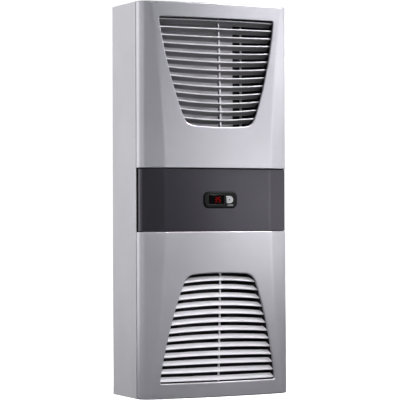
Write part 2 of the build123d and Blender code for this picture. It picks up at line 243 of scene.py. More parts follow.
def opening_outline():
    """Upper air opening as (x, z, nx, nz) with outward normals, counter clockwise from the bottom middle."""
    p0, p1, p2 = (154.5, 913.0), (131.8, 790.0), (100.0, 684.0)
    ax, ay, bx, by, cx, cy = *p0, *p1, *p2
    dd = 2 * (ax * (by - cy) + bx * (cy - ay) + cx * (ay - by))
    ux = ((ax * ax + ay * ay) * (by - cy) + (bx * bx + by * by) * (cy - ay) + (cx * cx + cy * cy) * (ay - by)) / dd
    uy = ((ax * ax + ay * ay) * (cx - bx) + (bx * bx + by * by) * (ax - cx) + (cx * cx + cy * cy) * (bx - ax)) / dd
    rad = math.hypot(ax - ux, ay - uy)
    ang0, ang1 = math.atan2(ay - uy, ax - ux), math.atan2(cy - uy, cx - ux)
    # side arc from below to above, then its ends are rounded into the straight edges
    n_arc = 60
    if ang1 - ang0 > math.pi:
        ang1 -= 2 * math.pi
    if ang0 - ang1 > math.pi:
        ang0 -= 2 * math.pi
    arc = [(ux + rad * math.cos(ang1 + (ang0 - ang1) * i / n_arc), uy + rad * math.sin(ang1 + (ang0 - ang1) * i / n_arc))
           for i in range(n_arc + 1)]
    # inner edge, gently arched, then its corner with the side
    x_t = 70.0
    slope = 10.0 * x_t / 8100.0
    low = (87.5, inner_edge(x_t) + slope * (87.5 - x_t))

    def rounded(prev, corner, nxt, r, n):
        v1 = Vector((prev[0] - corner[0], prev[1] - corner[1])).normalized()
        v2 = Vector((nxt[0] - corner[0], nxt[1] - corner[1])).normalized()
        half = math.acos(max(-1, min(1, v1.dot(v2)))) / 2
        t = r / math.tan(half)
        c = Vector(corner) + (v1 + v2).normalized() * (r / math.sin(half))
        s, e = Vector(corner) + v1 * t, Vector(corner) + v2 * t
        a0 = math.atan2(s.y - c.y, s.x - c.x)
        a1 = math.atan2(e.y - c.y, e.x - c.x)
        if a1 < a0:
            a1 += 2 * math.pi
        return [(c.x + r * math.cos(a0 + (a1 - a0) * i / n), c.y + r * math.sin(a0 + (a1 - a0) * i / n)) for i in range(n + 1)], t

    f_low, t_low = rounded((low[0] - 10.0, low[1] - 10.0 * slope), low, arc[0], 30.0, 12)
    f_top, t_top = rounded(arc[-3], arc[-1], (0.0, 913.0), 4.0, 8)
    right = []
    n_bot = 12
    for i in range(n_bot):
        right.append((f_low[0][0] * i / n_bot, inner_edge(f_low[0][0] * i / n_bot)))
    right += f_low
    n_line = 2
    for i in range(1, n_line):
        t = i / n_line
        right.append((f_low[-1][0] + (arc[0][0] - f_low[-1][0]) * t, f_low[-1][1] + (arc[0][1] - f_low[-1][1]) * t))
    limit = f_top[0][1]
    right += [p for p in arc if p[1] < limit - 1.5]
    right += f_top
    n_top = 24
    for i in range(1, n_top + 1):
        right.append((f_top[-1][0] * (1 - i / n_top), 913.0))
    loop = right + [(-x, z) for x, z in right[-2:0:-1]]
    out = []
    n = len(loop)
    for i in range(n):
        a, b = loop[i - 1], loop[(i + 1) % n]
        tx, tz = b[0] - a[0], b[1] - a[1]
        L = math.hypot(tx, tz)
        out.append((loop[i][0], loop[i][1], tz / L, -tx / L))
    return out


OPENING = opening_outline()


def opening_loop(o):
    return [(x + nx * o, z + nz * o) for x, z, nx, nz in OPENING]


def half_width(z, o=0.0):
    """Half width of the upper opening, grown by o, at height z."""
    best = 0.0
    lp = opening_loop(o)
    for i in range(len(lp)):
        (x0, z0), (x1, z1) = lp[i], lp[(i + 1) % len(lp)]
        if (z0 - z) * (z1 - z) <= 0 and z0 != z1 and max(x0, x1) > 0:
            best = max(best, x0 + (x1 - x0) * (z - z0) / (z1 - z0))
    return best


def build_cover(name):
    z_lo, z_hi = 551.0, HEIGHT
    r_lo, r_hi = 2.0, 2.5
    seg = 6
    rows = [(z_lo, 10.0), (z_lo, 5.0)]
    for i in range(seg + 1):
        a = 0.5 * math.pi * (1 - i / seg)
        rows.append((z_lo + r_lo * (1 - math.sin(a)), r_lo * (1 - math.cos(a))))
    rows.append((z_lo + r_lo + 0.8, 0.0))
    first = len(rows) - 1
    n_mid = 40
    a, b = z_lo + r_lo + 0.8, z_hi - r_hi - 0.8
    for i in range(1, n_mid + 1):
        rows.append((a + (b - a) * i / n_mid, 0.0))
    last = len(rows) - 1
    for i in range(seg + 1):
        t = 0.5 * math.pi * i / seg
        rows.append((z_hi - r_hi + r_hi * math.sin(t), r_hi * (1 - math.cos(t))))
    grid = [full_row(z, d) for z, d in rows]
    n = len(grid[0])
    verts = [p for r in grid for p in r]
    used = np.ones(len(verts), bool)
    faces = []
    for i in range(len(rows) - 1):
        for j in range(n - 1):
            if first <= i < last and C_LO <= j < C_HI:
                continue
            faces.append([i * n + j, i * n + j + 1, (i + 1) * n + j + 1, (i + 1) * n + j])
    faces.append([(len(rows) - 1) * n + j for j in range(n)])          # closed top
    # middle field with the air opening
    border = [first * n + j for j in range(C_LO, C_HI + 1)]
    border += [i * n + C_HI for i in range(first + 1, last)]
    border += [last * n + j for j in range(C_HI, C_LO - 1, -1)]
    border += [i * n + C_LO for i in range(last - 1, first, -1)]
    outer = [(verts[i][0], verts[i][2]) for i in border]
    ring_off = 10.0
    hole = opening_loop(ring_off)
    keep_out = opening_loop(ring_off + 5.0)
    extra = []
    for i in range(first + 1, last):
        for j in range(C_LO + 1, C_HI):
            p = verts[i * n + j]
            if not inside(keep_out, (p[0], p[2])):
                extra.append((p[0], p[2]))
    pts, tris = fill_between(outer, [hole], extra)
    index = list(border)
    for p in pts[len(border):]:
        index.append(len(verts))
        verts.append((p[0], bow_y(p[0], p[1]), p[1]))
    faces += [[index[i] for i in t] for t in tris]
    hole_idx = index[len(border):len(border) + len(hole)]
    # rounded rim turned inwards
    roll, deep = 2.4, 5.0
    steps = [(6.0, 0.0), (roll + 0.6, 0.0)]
    for i in range(7):
        t = 0.5 * math.pi * i / 6
        steps.append((roll * (1 - math.sin(t)), roll * (1 - math.cos(t))))
    steps += [(0.0, roll + 0.5), (0.0, deep)]
    prev = hole_idx
    for o, dep in steps:
        cur = []
        for x, z in opening_loop(o):
            cur.append(len(verts))
            verts.append((x, bow_y(x, z) + dep, z))
        m = len(cur)
        for k in range(m):
            faces.append([prev[k], cur[k], cur[(k + 1) % m], prev[(k + 1) % m]])
        prev = cur
    keep = sorted({i for f in faces for i in f})
    remap = {v: k for k, v in enumerate(keep)}
    ob = make_object(name, [verts[i] for i in keep], [[remap[i] for i in f] for f in faces])
    orient(ob, (0, apex_y(600), 600), (0, -1, 0))
    shade(ob, 40)
    return ob


upper_cover = build_cover("upper_front_cover_skin")
lower_cover = mirrored(upper_cover, "lower_front_cover_skin")
for ob, node in ((upper_cover, "upper_front_cover"), (lower_cover, "lower_front_cover")):
    solidify(ob, 1.3)
    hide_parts(node)


def build_band(name):
    z_lo, z_hi, r, base = 400.0, 550.0, 1.2, 3.5
    seg = 4
    rows = [(z_lo, base + 7.0), (z_lo, base + 3.0)]
    for i in range(seg + 1):
        a = 0.5 * math.pi * (1 - i / seg)
        rows.append((z_lo + r * (1 - math.sin(a)), base + r * (1 - math.cos(a))))
    rows.append((z_lo + r + 0.6, base))
    for i in range(1, 17):
        rows.append((z_lo + r + 0.6 + (z_hi - z_lo - 2 * r - 1.2) * i / 16, base))
    for i in range(seg + 1):
        t = 0.5 * math.pi * i / seg
        rows.append((z_hi - r + r * math.sin(t), base + r * (1 - math.cos(t))))
    rows += [(z_hi, base + 3.0), (z_hi, base + 7.0)]
    grid = [full_row(z, d, 2.0, BAND_CORNER) for z, d in rows]
    verts, faces = tube_grid(grid, closed_u=False, cap=False)
    ob = make_object(name, verts, faces)
    orient(ob, (0, Y_FRONT + 5.5, Z_MID), (0, -1, 0))
    shade(ob, 40)
    return ob


band = build_band("control_band_skin")
solidify(band, 1.3)
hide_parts("control_band")

# ====================================================================== louvre grilles
LIP_BACK, SLAT_DEPTH, SLAT_RISE, PITCH, SLAT_N, LIP_TOP = 7.0, 15.5, 9.5, 20.05, 13, 908.3


def slat_section(rise):
    """Section of a slat as (depth behind the lip, height): square-cut rounded lip, tapering to the rear."""
    def lean(s):
        return -rise * s / SLAT_DEPTH
    pts = []
    r = 0.9
    hf, hr = 1.8, 1.25
    for i in range(5):                                   # upper lip corner
        t = 0.5 * math.pi * i / 4
        pts.append((r - r * math.sin(t), hf - r + r * math.cos(t)))
    pts = pts[::-1]
    pts = pts + []
    top = [(s, hf + (hr - hf) * s / SLAT_DEPTH + lean(s)) for s in (2.5, 6.0, 10.0, 14.2)]
    pts += top
    s_end = SLAT_DEPTH
    for i in range(5):                                   # rear edge
        t = math.pi * i / 4
        pts.append((s_end - 0.9 + 0.9 * math.sin(t), lean(s_end) + (hr - 0.15) * math.cos(t)))
    pts += [(s, -(hf + (hr - hf) * s / SLAT_DEPTH) + lean(s)) for s in (14.2, 10.0, 6.0, 2.5)]
    low = []
    for i in range(5):                                   # lower lip corner
        t = 0.5 * math.pi * i / 4
        low.append((r - r * math.sin(t), -hf + r - r * math.cos(t)))
    pts += low
    return pts


RIB_X = 5.5


def rib_front(z):
    """Front of the rib: further behind the slats' lips towards the outer end."""
    return apex_y(z) + LIP_BACK + 3.0 + 4.0 * (z - 650.0) / 263.0


def build_slats(name, rise=SLAT_RISE, rib_in=0.0):
    parts = []
    sec = slat_section(rise)
    ts = [-1 + 2 * i / 36 for i in range(37)]
    for k in range(SLAT_N):
        zl = LIP_TOP - PITCH * k
        arch = 0.42 * k / 8100.0                         # slats arch more towards the control band
        widths = []
        for _, dz in sec:
            w = 100.0
            for _ in range(12):
                w = 0.5 * (w + half_width(zl + dz + arch * w * w, 0.7))
            widths.append(w)
        floor = max(widths) * 0.6
        rows = []
        for t in ts:
            row = []
            for (s, dz), w in zip(sec, widths):
                x = t * max(w, floor)
                z_lip = zl + arch * x * x
                row.append((x, bow_y(x, z_lip, LIP_BACK + s), z_lip + dz))
            rows.append(row)
        parts.append(tube_grid(rows))
    # front bead of the rib, between the slats
    w, r = 1.75, 0.7
    rows = []
    for z in np.linspace(650.4, 913.4, 20):
        yf = rib_front(z) + rib_in
        yb = yf + 5.0
        row = [(-w, yb), (-w, yf + r)]
        row += [(-w + r - r * math.cos(a), yf + r - r * math.sin(a)) for a in (0.5, 1.05, 1.57)]
        row += [(w - r + r * math.cos(a), yf + r - r * math.sin(a)) for a in (1.57, 1.05, 0.5)]
        row += [(w, yf + r), (w, yb)]
        rows.append([(RIB_X + x, y, z) for x, y in row])
    parts.append(tube_grid(rows))
    ob = join_parts(name, parts, 35)
    orient(ob)
    shade(ob, 35)
    return ob


def build_grille_frame(name):
    """Surround behind the cover opening with the web of the middle rib, black as painted shade for the opening's walls
    and the rib's sides.
    """
    d0, d1 = 3.6, 28.0
    inner, outer = 0.5, 4.4
    loops = []
    prof = [(inner + 0.5, d0), (inner, d0 + 0.5), (inner, 12.0), (inner, 20.0), (inner, d1 - 0.6), (inner + 0.6, d1),
            (outer - 0.6, d1), (outer, d1 - 0.6), (outer, 16.0), (outer, d0 + 0.5), (outer - 0.5, d0)]
    n = len(OPENING)
    for o, dep in prof:
        loops.append([(x, bow_y(x, z) + dep, z) for x, z in opening_loop(o)])
    verts = [p for lp in loops for p in lp]
    faces = []
    m = len(prof)
    for i in range(m):
        for k in range(n):
            a, b = i * n + k, i * n + (k + 1) % n
            c, d = ((i + 1) % m) * n + (k + 1) % n, ((i + 1) % m) * n + k
            faces.append([a, b, c, d])
    w, r = 1.4, 0.5
    rows = []
    for z in np.linspace(650.2, 913.4, 20):
        yf = rib_front(z) + 4.5
        yb = apex_y(z) + LIP_BACK + 15.0
        row = [(-w + r, yf), (w - r, yf), (w, yf + r), (w, yb - r), (w - r, yb), (-w + r, yb), (-w, yb - r), (-w, yf + r)]
        rows.append([(RIB_X + x, y, z) for x, y in row])
    web = tube_grid(rows)
    ob = join_parts(name, [(verts, faces), web], 35)
    orient(ob)
    shade(ob, 35)
    return ob


upper_slats = build_slats("upper_grille_slats")
upper_frame = build_grille_frame("upper_grille_surround")
low_form = build_slats("lower_slats_form", 8.3, 4.0)     # flatter slats and a rib further in
lower_slats = mirrored(low_form, "lower_grille_slats")
bpy.data.objects.remove(low_form, do_unlink=True)
lower_frame = mirrored(upper_frame, "lower_grille_surround")
for ob, node in ((upper_slats, "upper_grille"), (lower_slats, "lower_grille")):
    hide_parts(node)

# ====================================================================== controller
BEZ_FRONT, BEZ_BACK = -95.0, -87.0


def round_rect(x0, x1, z0, z1, r, n=8, straight=6):
    """Rounded rectangle, counter clockwise seen from the front, as (x, z, nx, nz)."""
    out = []
    cs = [(x1 - r, z0 + r, -0.5 * math.pi), (x1 - r, z1 - r, 0.0), (x0 + r, z1 - r, 0.5 * math.pi), (x0 + r, z0 + r, math.pi)]
    for k, (cx, cz, a0) in enumerate(cs):
        for i in range(n + 1):
            a = a0 + 0.5 * math.pi * i / n
            out.append((cx + r * math.cos(a), cz + r * math.sin(a), math.cos(a), math.sin(a)))
        nx = cs[(k + 1) % 4]
        a1 = nx[2]
        sx, sz = out[-1][0], out[-1][1]
        ex, ez = nx[0] + r * math.cos(a1), nx[1] + r * math.sin(a1)
        for i in range(1, straight):
            out.append((sx + (ex - sx) * i / straight, sz + (ez - sz) * i / straight, math.cos(a1), math.sin(a1)))
    return out


def d_shape(x0, x1, z0, z1, r, n=16):
    """Key outline with a flat left side and a right side that runs out to a round nose."""
    zc, h = (z0 + z1) / 2, (z1 - z0) / 2
    pts = []
    nose = x1 - x0 - h * 0.92
    ex = x0 + nose
    for i in range(n + 1):
        a = -0.5 * math.pi + math.pi * i / n
        pts.append((ex + (x1 - ex) * math.cos(a), zc + h * math.sin(a)))
    for i in range(1, 4):
        pts.append((ex + (x0 + r - ex) * i / 4, z1))
    for i in range(5):
        a = 0.5 * math.pi + 0.5 * math.pi * i / 4
        pts.append((x0 + r + r * math.cos(a), z1 - r + r * math.sin(a)))
    for i in range(1, 4):
        pts.append((x0, z1 - r + (z0 - z1 + 2 * r) * i / 4))
    for i in range(5):
        a = math.pi + 0.5 * math.pi * i / 4
        pts.append((x0 + r + r * math.cos(a), z0 + r + r * math.sin(a)))
    for i in range(1, 4):
        pts.append((x0 + r + (ex - x0 - r) * i / 4, z0))
    out = []
    m = len(pts)
    for i in range(m):
        a, b = pts[i - 1], pts[(i + 1) % m]
        tx, tz = b[0] - a[0], b[1] - a[1]
        L = math.hypot(tx, tz) or 1.0
        out.append((pts[i][0], pts[i][1], tz / L, -tx / L))
    return out


def loop_at(outline, o, y):
    return [(x + nx * o, y, z + nz * o) for x, z, nx, nz in outline]


def pad(outline, y_back, y_front, r, crown=0.0, seg=5, inner=None):
    """A key or window: outline raised from y_back to y_front with a rounded front edge and a slightly crowned face."""
    loops = [loop_at(outline, 0.0, y_back), loop_at(outline, 0.0, y_front + r + 0.05)]
    for i in range(seg + 1):
        t = 0.5 * math.pi * i / seg
        loops.append(loop_at(outline, -r * (1 - math.cos(t)), y_front + r * (1 - math.sin(t))))
    cx = sum(p[0] for p in outline) / len(outline)
    cz = sum(p[1] for p in outline) / len(outline)
    rim = loops[-1]
    for f in (0.93, 0.7, 0.4):
        loops.append([(cx + (x - cx) * f, y_front - crown * (1 - f * f), cz + (z - cz) * f) for x, y, z in rim])
    verts, faces = tube_grid(loops)
    return verts, faces


bezel_outline = round_rect(-43, 43, Z_MID - 18.5, Z_MID + 18.5, 12.0, 12, 10)
disp_outline = round_rect(-33.0, 10.5, 464.5, 486.5, 1.5, 5, 8)
key_outline = d_shape(15.0, 33.5, 466.5, 484.5, 2.2)
small_outline = round_rect(17.0, 34.0, 459.3, 464.3, 2.0, 5, 4)


def build_bezel(name):
    r = 1.8
    loops = [loop_at(bezel_outline, 0.0, BEZ_BACK), loop_at(bezel_outline, 0.0, BEZ_FRONT + r + 0.4)]
    for i in range(7):
        t = 0.5 * math.pi * i / 6
        loops.append(loop_at(bezel_outline, -r * (1 - math.cos(t)), BEZ_FRONT + r * (1 - math.sin(t))))
    loops.append(loop_at(bezel_outline, -r - 0.25, BEZ_FRONT))
    verts, faces = tube_grid(loops, cap=False)
    n = len(bezel_outline)
    faces.append(list(range(n)))
    last = [(len(loops) - 1) * n + j for j in range(n)]
    holes = [disp_outline, key_outline, small_outline]
    grows = [0.6, 0.6, 0.35]
    ring = [[(x + nx * (g + 0.15), z + nz * (g + 0.15)) for x, z, nx, nz in h] for h, g in zip(holes, grows)]
    outer = [(verts[i][0], verts[i][2]) for i in last]
    pts, tris = fill_between(outer, ring, [])
    index = list(last)
    for p in pts[len(last):]:
        index.append(len(verts))
        verts.append((p[0], BEZ_FRONT, p[1]))
    faces += [[index[i] for i in t] for t in tris]
    at = len(last)
    for h, rg, grow in zip(holes, ring, grows):
        prev = index[at:at + len(rg)]
        at += len(rg)
        soft = grow - 0.15
        steps = [(grow, 0.0)]
        for i in range(1, 5):
            t = 0.5 * math.pi * i / 4
            steps.append((grow - soft * math.sin(t), soft * (1 - math.cos(t))))
        steps += [(0.15, 0.8), (0.15, 2.0)]
        for o, dep in steps:
            cur = []
            for x, z, nx, nz in h:
                cur.append(len(verts))
                verts.append((x + nx * o, BEZ_FRONT + dep, z + nz * o))
            m = len(cur)
            for k in range(m):
                faces.append([prev[k], cur[k], cur[(k + 1) % m], prev[(k + 1) % m]])
            prev = cur
        faces.append(prev)
    ob = make_object(name, verts, faces)
    orient(ob)
    shade(ob, 35)
    return ob


bezel = build_bezel("controller_bezel_shell")
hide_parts("controller_bezel")



def build_ring(name, outline, section):
    """Closed ring that follows an outline; section is a list of (offset, y)."""
    loops = [loop_at(outline, o, y) for o, y in section]
    verts = [p for lp in loops for p in lp]
    n, m = len(outline), len(loops)
    faces = []
    for i in range(m):
        for k in range(n):
            faces.append([i * n + k, i * n + (k + 1) % n, ((i + 1) % m) * n + (k + 1) % n, ((i + 1) % m) * n + k])
    ob = make_object(name, verts, faces)
    orient(ob)
    shade(ob, 35)
    return ob


# black ring round the bezel: painted shadow, standing in for the bezel's cast shadow on the band
bezel_shadow_ring = build_ring("bezel_painted_shadow_ring", bezel_outline,
                    ((1.5, -88.5), (1.5, -93.3), (1.3, -93.75), (0.9, -93.9), (0.2, -93.9), (0.2, -88.5)))

# raised ring round the display window; its lighter grey is a painted highlight along the window's edge
lip = build_ring("display_lip_ring", disp_outline,
                 ((0.15, BEZ_FRONT + 0.8), (0.15, BEZ_FRONT - 0.22), (0.35, BEZ_FRONT - 0.35), (0.75, BEZ_FRONT - 0.35),
                  (0.95, BEZ_FRONT - 0.22), (0.95, BEZ_FRONT + 0.8)))

window = make_object("display_window_pane", *pad(disp_outline, BEZ_FRONT + 2.0, BEZ_FRONT + 0.6, 0.5, 0.0))
orient(window)
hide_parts("display_window")

d_key = make_object("set_key_cap", *pad(key_outline, BEZ_FRONT + 2.0, BEZ_FRONT - 0.7, 0.9, 0.3))
orient(d_key)
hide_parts("set_key")

small_key = make_object("function_key_cap", *pad(small_outline, BEZ_FRONT + 2.0, BEZ_FRONT - 0.4, 0.7, 0.2))
orient(small_key)
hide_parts("function_key")

# mark on the large key: a shallow round dot
dot_c = (23.3, 475.3)
dot_outline = [(dot_c[0] + 1.7 * math.cos(2 * math.pi * i / 24), dot_c[1] + 1.7 * math.sin(2 * math.pi * i / 24),
                math.cos(2 * math.pi * i / 24), math.sin(2 * math.pi * i / 24)) for i in range(24)]
dot = make_object("set_key_dot", *pad(dot_outline, BEZ_FRONT - 0.5, BEZ_FRONT - 0.99, 0.15, 0.0, 3))
orient(dot)

# lit figures: seven-bar digits
BARS = {"3": "abcdg", "5": "acdfg"}


def digit(ch, cx, cz, w=7.0, h=13.0, s=1.5, gap=0.22):
    x0, x1, z0, z1 = cx - w / 2 + s / 2, cx + w / 2 - s / 2, cz - h / 2 + s / 2, cz + h / 2 - s / 2
    zm = cz
    ends = {"a": ((x0, z1), (x1, z1)), "b": ((x1, zm), (x1, z1)), "c": ((x1, z0), (x1, zm)), "d": ((x0, z0), (x1, z0)),
            "e": ((x0, z0), (x0, zm)), "f": ((x0, zm), (x0, z1)), "g": ((x0, zm), (x1, zm))}
    parts = []
    for key in BARS[ch]:
        (ax, az), (bx, bz) = ends[key]
        L = math.hypot(bx - ax, bz - az)
        ux, uz = (bx - ax) / L, (bz - az) / L
        vx, vz = -uz, ux
        k = s / 2
        pts2 = [(gap, 0), (gap + k, -k), (L - gap - k, -k), (L - gap, 0), (L - gap - k, k), (gap + k, k)]
        base = [(ax + ux * p + vx * q, az + uz * p + vz * q) for p, q in pts2]
        cx2, cz2 = sum(p[0] for p in base) / 6, sum(p[1] for p in base) / 6
        loops = []
        for f, y in ((1.0, BEZ_FRONT + 0.6), (1.0, BEZ_FRONT + 0.42), (0.93, BEZ_FRONT + 0.34)):
            loops.append([(cx2 + (x - cx2) * f + 0.09 * (cz2 + (z - cz2) * f - cz), y, cz2 + (z - cz2) * f) for x, z in base])
        parts.append(tube_grid(loops))
    return parts


zd = (464.5 + 486.5) / 2
digits = join_parts("display_digit_bars", digit("3", -12.5, zd) + digit("5", -3.0, zd), 30)
orient(digits)
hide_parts("display_digits")

# ====================================================================== fine edges on the sheet metal of the frame
FINE = {"rear_gasket": 0.6, "left_side_panel": 0.45, "right_side_panel": 0.45, "top_panel": 0.7,
        "bottom_panel": 0.7, "front_frame_left": 0.45, "front_frame_right": 0.45, "front_frame_top": 0.8,
        "front_frame_bottom": 0.8, "centre_rail": 0.8, "cover_seal": 0.3, "upper_baffle_plate": 0.4, "guide_bar": 0.6,
        "upper_partition": 0.4, "lower_partition": 0.4, "exchanger_core": 0.3, "outer_fan_motor": 1.5,
        "outer_fan_impeller": 0.4, "inner_fan_motor": 1.5, "inner_fan_impeller": 0.4}
for name, r in FINE.items():
    ob = nodes[name]
    w = ob.modifiers.new("weld", "WELD")
    w.merge_threshold = 0.00002
    b = ob.modifiers.new("edge", "BEVEL")
    b.limit_method = "ANGLE"
    b.angle_limit = math.radians(35)
    b.width = r * MM
    b.segments = 3
    b.harden_normals = False
    wn = ob.modifiers.new("flat", "WEIGHTED_NORMAL")
    wn.mode = "FACE_AREA"
    wn.weight = 100
    shade_me = ob.data
    shade_me.polygons.foreach_set("use_smooth", [True] * len(shade_me.polygons))


# ====================================================================== finishes
def material(name):
    m = bpy.data.materials.new(name)
    m.use_nodes = True
    nt = m.node_tree
    bsdf = next(n for n in nt.nodes if n.type == "BSDF_PRINCIPLED")
    return m, nt, bsdf


def noise(nt, coord, scale, detail=2.0, rough=0.5):
    n = nt.nodes.new("ShaderNodeTexNoise")
    n.inputs["Scale"].default_value = scale
    n.inputs["Detail"].default_value = detail
    n.inputs["Roughness"].default_value = rough
    nt.links.new(coord, n.inputs["Vector"])
    return n.outputs["Fac"]


def ramp(nt, fac, stops):
    r = nt.nodes.new("ShaderNodeValToRGB")
    el = r.color_ramp.elements
    el[0].position, el[0].color = stops[0][0], (*stops[0][1], 1)
    el[1].position, el[1].color = stops[-1][0], (*stops[-1][1], 1)
    for p, c in stops[1:-1]:
        e = el.new(p)
        e.color = (*c, 1)
    nt.links.new(fac, r.inputs["Fac"])
    return r.outputs["Color"]


def span(nt, fac, lo, hi, a=0.3, b=0.7):
    m = nt.nodes.new("ShaderNodeMapRange")
    m.inputs["From Min"].default_value, m.inputs["From Max"].default_value = a, b
    m.inputs["To Min"].default_value, m.inputs["To Max"].default_value = lo, hi
    nt.links.new(fac, m.inputs["Value"])
    return m.outputs["Result"]


def bump(nt, bsdf, heights):
    """Stacked bumps: (height, strength, distance in metres)."""
    last = None
    for h, strength, dist in heights:
        b = nt.nodes.new("ShaderNodeBump")
        b.inputs["Strength"].default_value = strength
        b.inputs["Distance"].default_value = dist
        nt.links.new(h, b.inputs["Height"])
        if last is not None:
            nt.links.new(last, b.inputs["Normal"])
        last = b.outputs["Normal"]
    nt.links.new(last, bsdf.inputs["Normal"])


def coords(nt):
    return nt.nodes.new("ShaderNodeTexCoord").outputs["Object"]


def tint(c, k):
    return tuple(max(0.0, min(1.0, x * k)) for x in c)


def coat(name, colour, rough, metallic=0.0, vary=0.03, peel=0.06, spec=0.5, glint=(1.0, 1.0, 1.0), ior=1.5):
    """Satin powder coat: faint tone drift, fine orange peel and a slightly uneven sheen."""
    m, nt, bsdf = material(name)
    co = coords(nt)
    drift = noise(nt, co, 7.0, 3.0)
    nt.links.new(ramp(nt, drift, [(0.3, tint(colour, 1 - vary)), (0.5, colour), (0.7, tint(colour, 1 + vary))]), bsdf.inputs["Base Color"])
    grain = noise(nt, co, 420.0, 2.0, 0.55)
    fine = noise(nt, co, 1500.0, 1.0)
    nt.links.new(span(nt, noise(nt, co, 60.0, 3.0), rough * 0.93, rough * 1.07), bsdf.inputs["Roughness"])
    bsdf.inputs["Metallic"].default_value = metallic
    bsdf.inputs["Specular IOR Level"].default_value = spec
    bsdf.inputs["Specular Tint"].default_value = (*glint, 1.0)
    bsdf.inputs["IOR"].default_value = ior
    bump(nt, bsdf, [(grain, peel, 0.0004), (fine, peel * 0.6, 0.0002)])
    return m


cover_paint = coat("cover_paint", (0.575, 0.56, 0.597), 0.34, metallic=0.70)
housing_paint = coat("housing_paint", (0.745, 0.727, 0.758), 0.42, metallic=0.15)
band_paint = coat("band_paint", (0.0045, 0.0042, 0.0056), 0.31, metallic=0.0, vary=0.05, peel=0.035, spec=1.0, glint=(0.92, 0.87, 1.0), ior=1.58)


def plastic(name, colour, rough, grain_scale=900.0, grain=0.08, vary=0.03, spec=0.5, downward_shade=1.0):
    """Moulded plastic: fine spark-eroded grain and faint flow marks."""
    m, nt, bsdf = material(name)
    co = coords(nt)
    stretch = nt.nodes.new("ShaderNodeMapping")
    stretch.inputs["Scale"].default_value = (1.0, 1.0, 3.0)
    nt.links.new(co, stretch.inputs["Vector"])
    flow = noise(nt, stretch.outputs["Vector"], 14.0, 3.0)
    tone = ramp(nt, flow, [(0.3, tint(colour, 1 - vary)), (0.7, tint(colour, 1 + vary))])
    if downward_shade < 1.0:                                      # painted shade: faces that look down get a darker base colour
        geo = nt.nodes.new("ShaderNodeNewGeometry")
        axes = nt.nodes.new("ShaderNodeSeparateXYZ")
        nt.links.new(geo.outputs["Normal"], axes.inputs["Vector"])
        downward_darkening = nt.nodes.new("ShaderNodeVectorMath")
        downward_darkening.operation = "SCALE"
        nt.links.new(tone, downward_darkening.inputs[0])
        nt.links.new(span(nt, axes.outputs["Z"], downward_shade, 1.0, -0.8, -0.35), downward_darkening.inputs["Scale"])
        tone = downward_darkening.outputs["Vector"]
    nt.links.new(tone, bsdf.inputs["Base Color"])
    g = noise(nt, co, grain_scale, 2.0)
    nt.links.new(span(nt, noise(nt, co, 90.0, 2.0), rough * 0.92, rough * 1.08), bsdf.inputs["Roughness"])
    bsdf.inputs["Specular IOR Level"].default_value = spec
    bump(nt, bsdf, [(g, grain, 0.0002)])
    return m


# the slats' downward faces are darkened as painted shade
grille_plastic = plastic("grille_plastic", (0.725, 0.71, 0.742), 0.42, downward_shade=0.43)
# black as painted shade for the walls of the air openings and the rib's sides
surround_shade_black = plastic("surround_shade_black", (0.008, 0.008, 0.009), 0.55)
black_plastic = plastic("black_plastic", (0.0045, 0.0045, 0.005), 0.34, spec=0.30)
key_silver = plastic("key_silver", (0.43, 0.43, 0.445), 0.38)
key_grey = plastic("key_grey", (0.15, 0.15, 0.158), 0.4)
fan_black = plastic("fan_black", (0.014, 0.014, 0.015), 0.5, 300.0, 0.15)
painted_shadow_black = plastic("painted_shadow_black", (0.0022, 0.0022, 0.0024), 0.65, spec=0.08)
lip_highlight_grey = plastic("lip_highlight_grey", (0.05, 0.05, 0.053), 0.35)
dot_dark = plastic("dot_dark", (0.05, 0.05, 0.055), 0.4)


def glass_pane():
    m, nt, bsdf = material("display_glass")
    co = coords(nt)
    nt.links.new(ramp(nt, noise(nt, co, 120.0, 2.0), [(0.3, (0.0015, 0.0012, 0.0012)), (0.7, (0.003, 0.002, 0.002))]), bsdf.inputs["Base Color"])
    nt.links.new(span(nt, noise(nt, co, 250.0, 2.0), 0.06, 0.12), bsdf.inputs["Roughness"])
    bsdf.inputs["Specular IOR Level"].default_value = 0.02
    return m


def lit_red():
    m, nt, bsdf = material("display_red")
    co = coords(nt)
    c = ramp(nt, noise(nt, co, 700.0, 1.0), [(0.3, (0.24, 0.004, 0.003)), (0.7, (0.32, 0.007, 0.005))])
    nt.links.new(c, bsdf.inputs["Base Color"])
    nt.links.new(c, bsdf.inputs["Emission Color"])
    bsdf.inputs["Emission Strength"].default_value = 0.24
    bsdf.inputs["Roughness"].default_value = 0.6
    bsdf.inputs["Specular IOR Level"].default_value = 0.0
    return m


def zinc(name, colour, rough, metallic=0.8, spangle=0.1):
    """Zinc coated sheet: soft spangle in tone and sheen."""
    m, nt, bsdf = material(name)
    co = coords(nt)
    v = nt.nodes.new("ShaderNodeTexVoronoi")
    v.inputs["Scale"].default_value = 130.0
    nt.links.new(co, v.inputs["Vector"])
    sep = nt.nodes.new("ShaderNodeSeparateColor")
    nt.links.new(v.outputs["Color"], sep.inputs["Color"])
    cell = sep.outputs["Red"]
    nt.links.new(ramp(nt, cell, [(0.0, tint(colour, 1 - spangle)), (1.0, tint(colour, 1 + 0.8 * spangle))]), bsdf.inputs["Base Color"])
    nt.links.new(span(nt, cell, rough * 0.85, rough * 1.15, 0.0, 1.0), bsdf.inputs["Roughness"])
    bsdf.inputs["Metallic"].default_value = metallic
    bump(nt, bsdf, [(noise(nt, co, 260.0, 3.0), 0.05, 0.0004)])
    return m


zinc_sheet = zinc("zinc_sheet", (0.60, 0.61, 0.63), 0.42)
baffle_sheet = zinc("baffle_sheet", (0.46, 0.45, 0.47), 0.6, 0.05, 0.05)
core_alu = zinc("core_aluminium", (0.64, 0.65, 0.67), 0.34)


